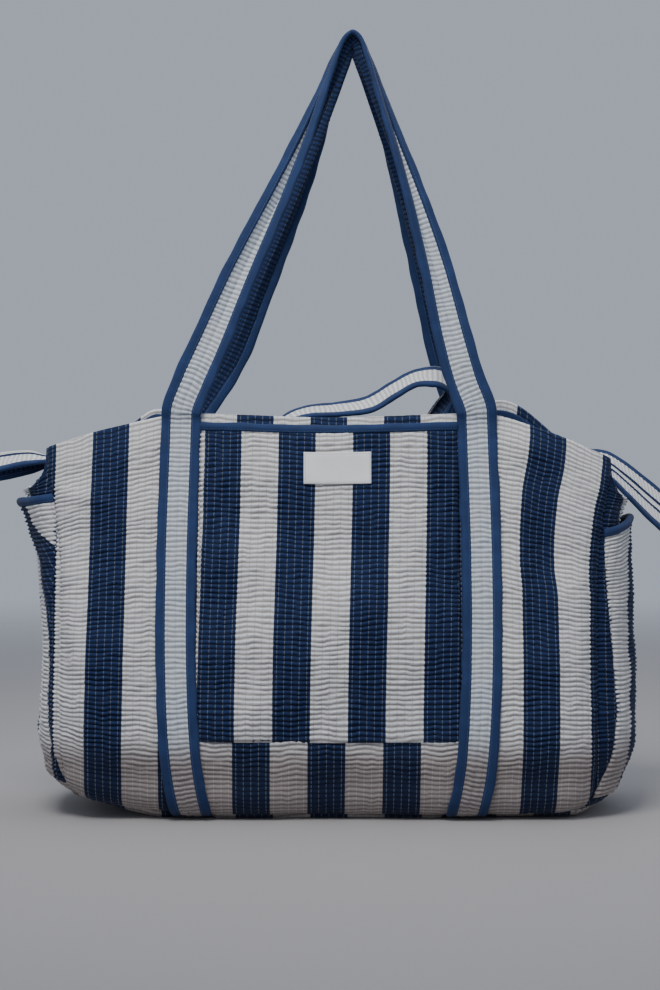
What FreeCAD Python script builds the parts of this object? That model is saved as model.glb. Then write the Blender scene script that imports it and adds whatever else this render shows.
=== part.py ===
import FreeCAD, Part
import math
import os

from FreeCAD import Vector

# Weekender bag of quilted cotton, standing on its base with both handles drawn up.
# Millimetres. +X to the right, the front pocket faces -Y, +Z up, Z=0 under the base.

# Body: (height, half width at the corners, half depth, corner radius) up the shell
LEVELS = [
    (0.0, 221.0, 80.0, 30.0),
    (10.0, 236.0, 95.0, 34.0),
    (36.0, 243.0, 102.0, 36.0),
    (120.0, 244.0, 97.0, 33.0),
    (220.0, 244.0, 81.0, 28.0),
    (300.0, 244.0, 66.0, 23.0),
    (364.0, 243.0, 55.0, 18.0),
]
END_BULGE = 16.0        # how far an end panel swells past its corners
FACE_BULGE = 3.0        # the same for the front and the back
SEAM_X = 232.0          # where the front and back meet the end panels
SEAM_Z = 15.0           # where the walls meet the bottom
QUILT = 3.6             # shell, quilted
LINING = 1.2
MOUTH_TAPE = 1.6

# Height of the mouth along X: highest at the straps, drooping to the ends
MOUTH = [(-262.0, 316.0), (-232.0, 324.0), (-190.0, 338.0), (-131.0, 353.0), (0.0, 349.0),
         (131.0, 353.0), (190.0, 338.0), (232.0, 321.0), (262.0, 313.0)]
END_TOP = 290.0         # the end panels fold in here, under the closure's tails

# Front pocket and its label
POCKET_X, POCKET_Z0, POCKET_Z1 = 113.0, 70.0, 341.0
POCKET_GAP, POCKET_WALL, POCKET_RIM = 10.0, 2.8, 5.0
TAPE_H = 8.0            # height of the navy tape along a pocket's mouth
LABEL_X, LABEL_Z, LABEL_W, LABEL_H, LABEL_T = 7.5, 308.0, 59.0, 28.0, 1.0

# End pockets
END_POCKET_Z1, END_POCKET_BASE, END_POCKET_TOP = 270.0, 84.0, 58.0
END_POCKET_GAP = 8.0

# Straps and handles: a quilted core between two folded tapes
STRAP_X, STRAP_W, STRAP_T, TAPE_W, TAPE_T = 131.0, 34.0, 3.0, 7.0, 2.8
CORE = STRAP_W / 2 - TAPE_W
FACE_T = 1.8            # outer layer of the handle core; the navy backing is the rest
HINGE_Z = 352.0         # each handle folds here, just in front of its strap
# (x, y, z, twist from facing forward to facing outward) up one strand and down the other
HANDLE_PATH = [
    (-129.6, -63.2, 355.5, 0.0), (-106.0, -54.6, 409.0, 4.0), (-76.0, -46.4, 475.0, 12.0),
    (-45.5, -38.2, 541.0, 26.0), (-22.0, -31.5, 594.0, 45.0), (-4.5, -25.5, 638.0, 66.0),
    (5.5, -20.5, 666.0, 84.0), (13.0, -19.3, 680.0, 90.0), (22.0, -19.2, 685.5, 90.0),
    (31.0, -19.3, 680.5, 90.0), (38.0, -20.5, 665.0, 84.0), (46.5, -25.5, 634.0, 66.0),
    (59.5, -31.5, 592.0, 45.0), (76.0, -38.2, 541.0, 26.0), (93.0, -46.4, 480.0, 12.0),
    (111.0, -54.6, 412.0, 4.0), (129.6, -63.2, 355.5, 0.0),
]

# Closure under the mouth: two bound strips with a zip between, running out past both ends
STRIP_W, STRIP_T = 32.0, 2.6
ZIP_TAPE_W, ZIP_TAPE_T = 6.0, 0.8
TEETH_IN, TEETH_OUT, TEETH_T = 0.7, 2.5, 2.0
CLOSURE_X = 247.0       # the tails hinge here
ZIP_Z_END, ZIP_Z_MID = 312.0, 331.0
SLIDERS = (-66.0, 136.0)    # the zip is drawn open between its two sliders
# Where the free middle of the front strip stands up: (x, y, z, tilt of its face forward)
ARCH = [(-44.0, 0.0, 331.0, 0.0), (-20.0, -7.0, 344.0, 25.0), (10.0, -11.0, 357.0, 50.0),
        (50.0, -12.0, 369.0, 60.0), (76.0, -12.0, 380.0, 60.0), (94.0, -11.0, 379.0, 55.0),
        (105.0, -6.0, 361.0, 35.0), (112.0, 0.0, 331.0, 0.0)]
BACK_BOW = 6.0          # how far the back strip stands off the open middle
TAIL_LEFT = [(-250.0, 312.0, 0.0), (-270.0, 314.5, 20.0), (-295.0, 316.0, 30.0),
             (-322.0, 315.0, 30.0)]
TAIL_RIGHT = [(250.0, 311.0, 0.0), (266.0, 300.0, 28.0), (288.0, 281.0, 45.0),
              (314.0, 260.0, 48.0)]
SLIDER = (12.0, 9.0, 4.4)
POST = (2.0, 1.0)           # wedge that parts the two rows of teeth inside a slider
PULL_L, PULL_W, PULL_T, PIN_D, PIN_GAP = 18.0, 6.0, 1.4, 1.6, 0.05

OUT = "parts"
os.makedirs(OUT, exist_ok=True)


def save(name, shape):
    """Writes one node and reports its volume."""
    solids = shape.Solids
    if len(solids) == 1:
        shape = solids[0]
    shape.exportStep(os.path.join(OUT, name + ".step"))
    print(f"{name}: {len(solids)} solid, {shape.Volume:.0f} mm3, valid {shape.isValid()}")


def section(z, a, b, r):
    """Closed wire of one level: gently swollen sides between rounded corners."""
    k = r * (1 - math.sqrt(0.5))
    def arc(p, q, s):
        return Part.Arc(Vector(*p, z), Vector(*q, z), Vector(*s, z)).toShape()
    edges = []
    for sx, sy in ((1, -1), (1, 1), (-1, 1), (-1, -1)):
        corner = [(sx * (a - r), sy * b), (sx * (a - k), sy * (b - k)), (sx * a, sy * (b - r))]
        if sx * sy > 0:
            corner.reverse()
        edges.append(arc(*corner))
        if sx * sy < 0:
            edges.append(arc((sx * a, sy * (b - r)), (sx * (a + END_BULGE), 0),
                             (sx * a, -sy * (b - r))))
        else:
            edges.append(arc((sx * (a - r), sy * b), (0, sy * (b + FACE_BULGE)),
                             (-sx * (a - r), sy * b)))
    return Part.Wire(Part.__sortEdges__(edges))


def hull(offset):
    """The bag's solid, grown by offset past the outside of its shell."""
    wires = []
    for i, (z, a, b, r) in enumerate(LEVELS):
        low = z - offset if i == 0 else z
        wires.append(section(low, a + offset, b + offset, max(r + offset, 4.0)))
    return Part.makeLoft(wires, True, False)


def slab(x0, x1, y0, y1, z0, z1):
    return Part.makeBox(x1 - x0, y1 - y0, z1 - z0, Vector(x0, y0, z0))


def under_mouth(rise):
    """Everything below the curve of the mouth raised by rise."""
    points = [Vector(x, -160, z + rise) for x, z in MOUTH]
    curve = Part.BSplineCurve()
    curve.interpolate(points)
    ends = [Vector(330, -160, points[-1].z - 9), Vector(330, -160, -40),
            Vector(-330, -160, -40), Vector(-330, -160, points[0].z - 9)]
    run = [points[-1]] + ends + [points[0]]
    edges = [curve.toShape()] + [Part.LineSegment(p, q).toShape() for p, q in zip(run, run[1:])]
    face = Part.Face(Part.Wire(Part.__sortEdges__(edges)))
    return face.extrude(Vector(0, 320, 0))


def wall(outer, inner):
    """The layer between two offsets of the shell."""
    return HULLS[outer].cut(HULLS[inner])


OFFSETS = {"skin": 0.0, "quilt": -QUILT, "lining": -QUILT - LINING,
           "tape": -QUILT - LINING - MOUTH_TAPE, "strap": STRAP_T, "strap_tape": TAPE_T,
           "gap": POCKET_GAP, "pocket": POCKET_GAP + POCKET_WALL,
           "label": POCKET_GAP + POCKET_WALL + LABEL_T, "end_gap": END_POCKET_GAP,
           "end_pocket": END_POCKET_GAP + POCKET_WALL}
HULLS = {name: hull(offset) for name, offset in OFFSETS.items()}
BELOW = under_mouth(0.0)
BIG = 330.0
SIDES = {
    "front": slab(-SEAM_X, SEAM_X, -BIG, 0, SEAM_Z, BIG * 2),
    "back": slab(-SEAM_X, SEAM_X, 0, BIG, SEAM_Z, BIG * 2),
    "left_end": slab(-BIG, -SEAM_X, -BIG, BIG, SEAM_Z, END_TOP),
    "right_end": slab(SEAM_X, BIG, -BIG, BIG, SEAM_Z, END_TOP),
    "bottom": slab(-BIG, BIG, -BIG, BIG, -BIG, SEAM_Z),
}


def strap_slab(s, u0, u1, z0, z1):
    """Slice across the whole bag at one strap; s is -1 on the left."""
    x0, x1 = sorted((s * (STRAP_X + u0), s * (STRAP_X + u1)))
    return slab(x0, x1, -BIG, BIG, z0, z1)


def shell_panels():
    """Quilted panels, and the lining behind each."""
    quilt = wall("skin", "quilt").common(BELOW)
    lining = wall("quilt", "lining").common(BELOW)
    for side, region in SIDES.items():
        panel = quilt.common(region)
        if side == "bottom":
            for s in (-1, 1):
                panel = panel.cut(strap_slab(s, -STRAP_W / 2, STRAP_W / 2, -BIG, STRAP_T))
        save(side + "_panel", panel)
        save(side + "_lining", lining.common(region))


def mouth_tapes():
    """Navy tape inside the mouth, standing just above the fold of each panel."""
    band = under_mouth(2.0).cut(under_mouth(-8.0))
    layer = wall("lining", "tape")
    for side in ("front", "back"):
        save(side + "_mouth_tape", layer.common(band).common(SIDES[side]))


def front_pocket():
    """Patch pocket between the straps, sewn at its sides and along its bottom."""
    z1 = POCKET_Z1 - TAPE_H
    block = wall("pocket", "skin").common(slab(-POCKET_X, POCKET_X, -BIG, 0, POCKET_Z0, z1))
    inside = POCKET_X - POCKET_RIM
    room = wall("gap", "skin").common(slab(-inside, inside, -BIG, 0, POCKET_Z0 + POCKET_RIM, BIG * 2))
    save("front_pocket", block.cut(room))
    tape = wall("pocket", "gap").common(slab(-POCKET_X, POCKET_X, -BIG, 0, z1, POCKET_Z1))
    save("front_pocket_tape", tape)
    x0, z0 = LABEL_X - LABEL_W / 2, LABEL_Z - LABEL_H / 2
    patch = slab(x0, x0 + LABEL_W, -BIG, 0, z0, z0 + LABEL_H)
    save("label", wall("label", "pocket").common(patch))


def wedge(base, top, z0, z1, s):
    """Tapering prism over one end of the bag, between two heights."""
    x = s * 200.0
    half = [base + (top - base) * (z - SEAM_Z) / (END_POCKET_Z1 - SEAM_Z) for z in (z0, z1)]
    corners = [(-half[0], z0), (half[0], z0), (half[1], z1), (-half[1], z1)]
    points = [Vector(x, y, z) for y, z in corners]
    return Part.Face(Part.makePolygon(points + points[:1])).extrude(Vector(s * 120, 0, 0))


def end_pockets():
    """Slip pocket over each end panel, with a navy tape along its mouth."""
    z1 = END_POCKET_Z1 - TAPE_H
    for side, s in (("left", -1), ("right", 1)):
        block = wall("end_pocket", "skin").common(
            wedge(END_POCKET_BASE, END_POCKET_TOP, SEAM_Z, z1, s))
        room = wall("end_gap", "skin").common(
            wedge(END_POCKET_BASE - 6, END_POCKET_TOP - 6, SEAM_Z + 6, END_POCKET_Z1 + 30, s))
        save(side + "_end_pocket", block.cut(room))
        tape = wall("end_pocket", "end_gap").common(
            wedge(END_POCKET_BASE, END_POCKET_TOP, z1, END_POCKET_Z1, s))
        save(side + "_end_pocket_tape", tape)


def straps():
    """Each strap is one length down the front, flush under the base and up the back."""
    top = HINGE_Z - 6.0
    for side, s in (("left", -1), ("right", 1)):
        for part, u0, u1, layer in (("core", -CORE, CORE, "strap"),
                                    ("outer_tape", CORE, STRAP_W / 2, "strap_tape"),
                                    ("inner_tape", -STRAP_W / 2, -CORE, "strap_tape")):
            sides = wall(layer, "skin").common(strap_slab(s, u0, u1, 0.0, top))
            under = HULLS["skin"].common(strap_slab(s, u0, u1, 0.0, STRAP_T))
            save(f"{side}_strap_{part}", sides.fuse(under).removeSplitter())


def ribbon(stations, u0, u1, t0, t1):
    """Solid strip through stations of (centre, sideways, normal), between two widths."""
    wires = []
    for centre, side, normal in stations:
        ring = [centre + side * u + normal * t
                for u, t in ((u0, t0), (u1, t0), (u1, t1), (u0, t1))]
        wires.append(Part.makePolygon(ring + ring[:1]))
    return Part.makeLoft(wires, True, True)


def unit(v):
    return v / v.Length


def handle_stations(flip):
    """Frames up one strand, over the top and down the other. flip mirrors front to back."""
    points = [Vector(x, y, z) for x, y, z, _ in HANDLE_PATH]
    frames = []
    for i, (p, row) in enumerate(zip(points, HANDLE_PATH)):
        run = unit(points[min(i + 1, len(points) - 1)] - points[max(i - 1, 0)])
        twist = math.radians(row[3])
        outward = Vector(-run.z, 0, run.x)
        normal = Vector(0, -1, 0) * math.cos(twist) + outward * math.sin(twist)
        normal = unit(normal - run * normal.dot(run))
        frames.append([p, run.cross(normal), normal])
    if flip:
        frames = [[Vector(v.x, -v.y, v.z) for v in frame] for frame in frames]
    return frames


def handles():
    """Front and back handle: outer layer, navy backing and a folded tape on each edge."""
    for side, flip in (("front", False), ("back", True)):
        frames = handle_stations(flip)
        half = STRAP_T / 2
        save(side + "_handle_face", ribbon(frames, -CORE, CORE, half - FACE_T, half))
        save(side + "_handle_backing", ribbon(frames, -CORE, CORE, -half, half - FACE_T))
        save(side + "_handle_outer_tape",
             ribbon(frames, CORE, STRAP_W / 2, -half - 0.2, half + 0.2))
        save(side + "_handle_inner_tape",
             ribbon(frames, -STRAP_W / 2, -CORE, -half - 0.2, half + 0.2))


def strip_stations(path):
    """Frames along a closure strip from (x, y, z, tilt of its face forward)."""
    points = [Vector(x, y, z) for x, y, z, _ in path]
    frames = []
    for i, (p, row) in enumerate(zip(points, path)):
        run = points[min(i + 1, len(points) - 1)] - points[max(i - 1, 0)]
        up = unit(Vector(-run.z, 0, run.x))
        tilt = math.radians(row[3])
        side = Vector(0, 1, 0) * math.cos(tilt) + up * math.sin(tilt)
        normal = up * math.cos(tilt) - Vector(0, 1, 0) * math.sin(tilt)
        frames.append((p, side, normal))
    return frames


def bands(name, path, s, layout):
    """Strips side by side along a path: (part, inner edge, outer edge, half thickness)."""
    frames = strip_stations(path)
    for part, u0, u1, t in layout:
        lo, hi = sorted((s * u0, s * u1))
        save(f"{name}_{part}", ribbon(frames, lo, hi, -t, t))


def closure_line(x):
    """Height of the shut zip along X, dropping towards both ends."""
    edge = ARCH[0][0] if x < 0 else ARCH[-1][0]
    span = (abs(x) - abs(edge)) / (CLOSURE_X - abs(edge))
    return ZIP_Z_MID + (ZIP_Z_END - ZIP_Z_MID) * max(span, 0.0)


def closure():
    """Two bound strips across the mouth, each with its zip tape and row of teeth."""
    ends = [(x, 0.0, closure_line(x), 0.0) for x in (-CLOSURE_X, CLOSURE_X)]
    back = [ARCH[0], (20.0, BACK_BOW, ZIP_Z_MID, 0.0), (60.0, BACK_BOW, ZIP_Z_MID, 0.0), ARCH[-1]]
    inner, half = TEETH_OUT + ZIP_TAPE_W, STRIP_T / 2
    layout = (("teeth", TEETH_IN, TEETH_OUT, TEETH_T / 2),
              ("zip_tape", TEETH_OUT, inner, ZIP_TAPE_T / 2),
              ("inner_tape", inner, inner + 6, half),
              ("strip", inner + 6, inner + STRIP_W - 6, half),
              ("outer_tape", inner + STRIP_W - 6, inner + STRIP_W, half))
    bands("closure_front", ends[:1] + ARCH + ends[1:], -1, layout)
    bands("closure_back", ends[:1] + back + ends[1:], 1, layout)


def tails():
    """The closure's loose ends past each end of the bag."""
    inner, half = TEETH_OUT, STRIP_T / 2
    for side, path in (("left", TAIL_LEFT[::-1]), ("right", TAIL_RIGHT)):
        path = [(x, 0.0, z, tilt) for x, z, tilt in path]
        bands(side + "_tail", path, 1, (("zip", -inner, inner, TEETH_T / 2),))
        for face, s in (("front", -1), ("back", 1)):
            bands(f"{side}_tail_{face}", path, s, (("strip", inner, inner + 20, half),
                                                   ("tape", inner + 20, inner + 26, half)))


def block(x0, x1, half_y, z0, z1):
    return slab(x0, x1, -half_y, half_y, z0, z1)


def zip_pulls():
    """A slider at each end of the open middle, with its pull lying along the zip."""
    length, width, height = SLIDER
    pin_z = height / 2 + 1.7
    for side, x, s in (("left", SLIDERS[0], -1), ("right", SLIDERS[1], 1)):
        body = block(-length / 2, length / 2, width / 2, -height / 2, height / 2)
        teeth = block(-length, length, TEETH_OUT + 0.3, -TEETH_T / 2 - 0.3, TEETH_T / 2 + 0.3)
        tape = block(-length, length, width, -ZIP_TAPE_T / 2 - 0.3, ZIP_TAPE_T / 2 + 0.3)
        post = block(-length / 2, POST[0] - length / 2, POST[1] / 2, -height / 2, height / 2)
        bridge = block(-3.0, 3.0, 0.8, height / 2, height / 2 + 3.4)
        hole = Part.makeCylinder(PIN_D / 2 + PIN_GAP, 3.0, Vector(0, -1.5, pin_z),
                                 Vector(0, 1, 0))
        slider = body.cut(teeth).cut(tape).fuse([post, bridge]).cut(hole)
        pin = Part.makeCylinder(PIN_D / 2, PULL_W - 1.0, Vector(0, 0.5 - PULL_W / 2, pin_z),
                                Vector(0, 1, 0))
        z0, z1 = pin_z - PULL_T / 2, pin_z + PULL_T / 2
        arms = [slab(-0.6, 4.6, y, y + 1.2, z0, z1) for y in (0.3 - PULL_W / 2, PULL_W / 2 - 1.5)]
        tab = block(3.6, 3.6 + PULL_L, PULL_W / 2, z0, z1)
        slope = math.degrees(math.atan2(closure_line(x) - ZIP_Z_END, CLOSURE_X - abs(x)))
        for name, shape in (("slider", slider), ("pull", pin.fuse(arms + [tab]))):
            if s < 0:
                shape = shape.mirror(Vector(0, 0, 0), Vector(1, 0, 0))
            shape.rotate(Vector(0, 0, 0), Vector(0, 1, 0), s * slope)
            shape.translate(Vector(x, 0, closure_line(x)))
            save(f"zip_{name}_{side}", shape)


shell_panels()
mouth_tapes()
front_pocket()
end_pockets()
straps()
handles()
closure()
tails()
zip_pulls()
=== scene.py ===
import math

import bmesh
import bpy
import numpy as np
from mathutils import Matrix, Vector


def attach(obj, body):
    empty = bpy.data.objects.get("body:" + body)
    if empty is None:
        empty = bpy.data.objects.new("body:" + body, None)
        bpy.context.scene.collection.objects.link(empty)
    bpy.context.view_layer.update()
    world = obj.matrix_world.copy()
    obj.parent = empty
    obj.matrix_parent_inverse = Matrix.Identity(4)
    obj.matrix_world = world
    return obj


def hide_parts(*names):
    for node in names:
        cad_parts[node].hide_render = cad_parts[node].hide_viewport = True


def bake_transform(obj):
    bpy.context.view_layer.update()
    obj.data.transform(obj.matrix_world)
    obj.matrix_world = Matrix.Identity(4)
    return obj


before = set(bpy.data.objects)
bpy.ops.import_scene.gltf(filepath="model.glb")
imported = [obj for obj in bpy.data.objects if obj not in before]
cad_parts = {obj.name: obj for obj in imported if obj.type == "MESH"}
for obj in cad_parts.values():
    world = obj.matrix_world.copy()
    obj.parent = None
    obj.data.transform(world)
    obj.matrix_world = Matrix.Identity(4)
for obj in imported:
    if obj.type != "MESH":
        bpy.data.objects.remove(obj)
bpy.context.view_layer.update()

# All shapes are worked out in millimetres in the CAD's frame and stored in metres.
MM = 0.001
RIB, STITCH, STRIPE = 4.4, 6.5, 65.0
STEP_V = RIB / 4              # rows of a quilted mesh: four to a rib
STEP_U = STITCH / 3           # columns: three to a stitch line
MOUTH_Z, HINGE_Z, HINGE_Y = 352.0, 352.0, 65.0
STRAP_X, CORE = 131.0, 10.3   # where the straps are sewn; half width of their white core
ZIP_TOP, ZIP_FALL, ZIP_END = 331.0, 19.0, 247.0

# Shell profile: (height, half width at the corners, half depth, corner radius)
LEVELS = np.array([
    (1.5, 224.0, 74.0, 28.0), (10.0, 237.0, 86.0, 33.0), (36.0, 243.5, 96.0, 36.0),
    (64.0, 244.0, 100.5, 36.0), (90.0, 244.0, 100.5, 35.0), (120.0, 243.0, 96.5, 32.0),
    (220.0, 243.0, 80.5, 25.0), (280.0, 247.0, 69.0, 20.0), (320.0, 253.0, 62.0, 17.0),
    (352.0, 256.0, 57.0, 15.0)])


# ---- numbers and curves

def ease(a, b, x):
    t = np.clip((np.asarray(x, float) - a) / (b - a), 0, 1)
    return t * t * (3 - 2 * t)


def hump(x, centre, width):
    return np.exp(-((np.asarray(x, float) - centre) / width) ** 2)


def curve(x, xs, ys):
    """Smooth curve through (xs, ys), without overshoot."""
    xs, ys = np.asarray(xs, float), np.asarray(ys, float)
    h, d = np.diff(xs), np.diff(ys) / np.diff(xs)
    m = np.concatenate([[d[0]], (d[:-1] + d[1:]) / 2, [d[-1]]])
    flat = np.concatenate([[False], d[:-1] * d[1:] <= 0, [False]])
    m[flat] = 0
    x = np.clip(np.asarray(x, float), xs[0], xs[-1])
    i = np.clip(np.searchsorted(xs, x) - 1, 0, len(h) - 1)
    t = (x - xs[i]) / h[i]
    return ((1 + 2 * t) * (1 - t) ** 2 * ys[i] + t * (1 - t) ** 2 * h[i] * m[i]
            + t * t * (3 - 2 * t) * ys[i + 1] + t * t * (t - 1) * h[i] * m[i + 1])


def drift(x, y, size, seed):
    """Soft random undulation, about -1 to 1, the same each run."""
    rng = np.random.RandomState(seed)
    total = 0
    for _ in range(7):
        angle, phase = rng.uniform(0, 2 * math.pi, 2)
        k = 2 * math.pi / (size * rng.uniform(0.7, 1.6))
        total = total + np.sin((x * math.cos(angle) + y * math.sin(angle)) * k + phase)
    return total / 3.2


def unit(v):
    return v / np.maximum(np.linalg.norm(v, axis=-1, keepdims=True), 1e-9)


def square(v, axis):
    """Unit vectors nearest to v that stand square on axis."""
    return unit(v - axis * np.sum(v * axis, -1, keepdims=True))


def lengths(points):
    """Distance along a path at each of its points."""
    steps = np.linalg.norm(np.diff(points[:, :3], axis=0), axis=1)
    return np.concatenate([[0], np.cumsum(steps)])


# ---- meshes

def linked(name, data):
    """New object in the scene."""
    obj = bpy.data.objects.new(name, data)
    bpy.context.collection.objects.link(obj)
    return obj


def add_mesh(name, verts, faces, uvs=None, finish=None, smooth=True):
    """Object from points in mm, with the cloth's own coordinates (mm) as its UV map."""
    mesh = bpy.data.meshes.new(name)
    mesh.from_pydata((np.asarray(verts, float) * MM).tolist(), [], faces)
    if uvs is not None:
        layer = mesh.uv_layers.new(name="cloth")
        loops = np.empty(len(mesh.loops), np.int32)
        mesh.loops.foreach_get("vertex_index", loops)
        layer.data.foreach_set("uv", np.asarray(uvs, np.float32)[loops].ravel())
    # Attribute "low" goes from 0 at 82 mm high to 1 at 46 mm and below; the quilted materials paint
    # shade with it, brownish on the white, low on the bag.
    low = mesh.attributes.new("low", "FLOAT", "POINT")
    low.data.foreach_set("value", ease(82, 46, np.asarray(verts, float)[:, 2]).astype(np.float32))
    mesh.polygons.foreach_set("use_smooth", np.full(len(mesh.polygons), smooth))
    mesh.validate()
    mesh.update()
    obj = linked(name, mesh)
    if finish:
        material, slot = FINISH[finish]
        mesh.materials.append(material)
    return obj


def quads(rows, cols, close_rows=False, close_cols=False, base=0):
    """Faces of a grid of rows x cols points."""
    r = np.arange(rows if close_rows else rows - 1)
    c = np.arange(cols if close_cols else cols - 1)
    i, j = np.meshgrid(r, c, indexing="ij")
    i2, j2 = (i + 1) % rows, (j + 1) % cols
    f = np.stack([i * cols + j, i * cols + j2, i2 * cols + j2, i2 * cols + j], -1)
    return (f.reshape(-1, 4) + base).tolist()


def tube(rows, cols, base=0):
    """Faces of a closed tube: rows of cols points each, capped at both ends."""
    last = base + (rows - 1) * cols
    return quads(rows, cols, close_cols=True, base=base) + [
        list(range(base, base + cols))[::-1], list(range(last, last + cols))]


def outward(obj):
    """Turns every face of a closed piece outwards."""
    work = bmesh.new()
    work.from_mesh(obj.data)
    bmesh.ops.recalc_face_normals(work, faces=work.faces)
    work.to_mesh(obj.data)
    work.free()
    return obj


def normals(grid):
    """Unit normals of a grid of points, from its own rows and columns."""
    return unit(np.cross(np.gradient(grid, axis=1), np.gradient(grid, axis=0)))


def shell(name, outer, inner, uv, finish, step=4):
    """Closed panel: a fine outer grid, a coarser inner one, and a rim that joins them."""
    rows, cols = outer.shape[:2]
    back = inner[::step, ::step]
    r2, c2 = back.shape[:2]
    base = rows * cols
    faces = quads(rows, cols)
    faces += [f[::-1] for f in quads(r2, c2, base=base)]

    def rim(fine, coarse):
        for k in range(len(coarse) - 1):
            run = fine[k * step:(k + 1) * step + 1]
            faces.append(run[::-1] + [coarse[k], coarse[k + 1]])
    row = lambda i, n, stride, off: [i * stride + j + off for j in range(n)]
    col = lambda j, n, stride, off: [i * stride + j + off for i in range(n)]
    rim(row(0, cols, cols, 0), row(0, c2, c2, base))
    rim(row(rows - 1, cols, cols, 0)[::-1], row(r2 - 1, c2, c2, base)[::-1])
    rim(col(0, rows, cols, 0)[::-1], col(0, r2, c2, base)[::-1])
    rim(col(cols - 1, rows, cols, 0), col(c2 - 1, r2, c2, base))
    verts = np.concatenate([outer.reshape(-1, 3), back.reshape(-1, 3)])
    uvs = np.concatenate([uv.reshape(-1, 2), uv[::step, ::step].reshape(-1, 2)])
    return add_mesh(name, verts, faces, uvs, finish)


def wandering(cloth, seed):
    """Cloth coordinates whose ribs wander a little, as quilting does."""
    u, v = cloth[..., 0], cloth[..., 1]
    cell = drift(np.round(u / STITCH) * 29.0, v, 31, seed + 5)
    shift = 1.5 * drift(u, v, 120, seed) + 0.7 * drift(u, v, 30, seed + 1) + 0.42 * cell
    return np.stack([u, v + shift], -1)


def quilt(u, v, height=1.75, pinch=0.6, fade=1.0, seed=1):
    """Height of the quilting at cloth coordinates: puffed ribs between stitch lines."""
    rib = np.sin(np.pi * v / RIB) ** 2
    line = np.abs((u / STITCH + 0.5) % 1 - 0.5) * STITCH
    swell = 1 + 0.38 * drift(u, v * 3, 16, seed + 2)
    return fade * (height * rib * swell) - pinch * np.exp(-(line / 0.9) ** 2) * (0.4 + 0.6 * rib)


# ---- the bag's own shape

def droop(x, z):
    """How far the mouth falls towards the ends, and the base lifts at its corners."""
    top = curve(x, [-262, -232, -210, -190, -145, -131, 0, 131, 150, 180, 208, 240, 262],
                [-33, -23, -16, -11, -1, 1, -2.5, 1, -1, -10, -20, -34, -42])
    low = curve(x, [-250, -205, -130, 0, 130, 215, 250], [26, 12, 2, 0, 0, 2.5, 7])
    t = np.clip(z / MOUTH_Z, 0, 1.1)
    return top * t ** 1.5 + low * (1 - np.clip(t, 0, 1)) ** 2


def profile_table():
    """Height, width, depth and radius against the distance up the wall."""
    z = np.linspace(LEVELS[0, 0], LEVELS[-1, 0], 500)
    a, b, r = (curve(z, LEVELS[:, 0], LEVELS[:, i]) for i in (1, 2, 3))
    run = np.concatenate([[0], np.cumsum(np.hypot(np.diff(z), np.diff(b)))])
    return run, z, a, b, r


RUN, RUN_Z, RUN_A, RUN_B, RUN_R = profile_table()
WALL = RUN[-1]


def at_run(v):
    """Height, width, depth and radius at distance v up the wall."""
    return [np.interp(v, RUN, col) for col in (RUN_Z, RUN_A, RUN_B, RUN_R)]


def run_at(z):
    """Distance up the wall at height z."""
    return float(np.interp(z, RUN_Z, RUN))


def end_swell(z, s):
    """How far an end panel bellies out past its corners."""
    if s < 0:
        return curve(z, [0, 60, 120, 210, 270, 318, 352], [8, 10, 9, 11, 16, 24, 16])
    return curve(z, [0, 60, 120, 200, 280, 320, 352], [12, 27, 30, 24, 18, 18, 10])


def soft_front(x, z, s):
    """Slack in the front (s=-1) or back (s=1) face, outwards."""
    t = np.clip(z / MOUTH_Z, 0, 1)
    calm = 1 - 0.9 * hump(np.abs(x), STRAP_X, 24)
    body = 3.0 * (1 - (x / 235.0) ** 2)
    taut = -3.2 * hump(np.abs(x), STRAP_X, 26) * ease(0.25, 0.95, t)
    belly = 5.0 * hump(np.abs(x), 190, 38) * hump(z, 150, 110)
    waves = calm * (2.0 * drift(x, z, 150, 11 + s) + 1.1 * drift(x, z, 48, 21 + s))
    fold = 0.0
    if s < 0:
        ridge = (x + 208) * 0.42 + (z - 290) * 0.91
        fold = (2.2 * hump(ridge, 0, 6) * hump((x + 208) * 0.91 - (z - 290) * 0.42, 0, 32)
                - 4.0 * hump(x - 0.10 * (z - 230), 186, 13) * hump(z, 235, 85)
                + 2.5 * hump(x - 0.10 * (z - 230), 160, 16) * hump(z, 240, 90)
                - 2.5 * hump(x + 0.08 * (z - 90), -166, 12) * hump(z, 70, 70)
                + 2.0 * hump(x, 10 + 0.1 * z, 18) * hump(z, 180, 80))
    fold = fold * ease(17, 30, np.abs(np.abs(x) - STRAP_X))
    return (body + taut + belly + waves + fold) * (1 - 0.6 * ease(0.93, 1.0, t))


def pull(x, z):
    """How far the front's cloth is drawn across: its stripes are not quite plumb."""
    right = curve(z, [0, 104, 200, 226, 290, 320, 345], [14, 12, 12, 14, 10, 4, 1])
    corner = 6 * ease(195, 235, x) * hump(z, 140, 120)
    left = curve(z, [0, 100, 340], [0.5, -1.5, -2.5]) * ease(-120, -190, x)
    lean = 2.5 * (1 - np.clip(z / MOUTH_Z, 0, 1)) * ease(250, 60, np.abs(x))
    return right * ease(100, 185, x) + corner + left + lean


def face_point(x, v, s, lift=0.0):
    """Point on the front or back at cloth position x across, v up the wall."""
    z, a, b, r = at_run(v)
    x = np.asarray(x, float) + 0 * z
    flat = a - r
    over = np.clip(np.abs(x) - flat, 0, None)
    turn = over / r
    px = np.where(over > 0, np.sign(x) * (flat + r * np.sin(turn)), x)
    py = b - np.where(over > 0, r * (1 - np.cos(turn)), 0)
    seam = 1.4 * hump(np.abs(x) - seam_x(v), 0, 3.0)
    out = soft_front(px, z, s) * (1 - ease(0, 0.6, turn)) + lift - seam
    py = py + out * np.cos(turn)
    rise = (24 * hump(px, 172, 40) + 15 * hump(px, -165, 24)) * ease(0.8, 1.0, z / MOUTH_Z)
    rise = rise if s > 0 else 0
    fall = droop(px, z) + rise
    px = px + np.sign(x) * out * np.sin(turn)
    return np.stack([px, s * py, z + fall], -1)


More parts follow.
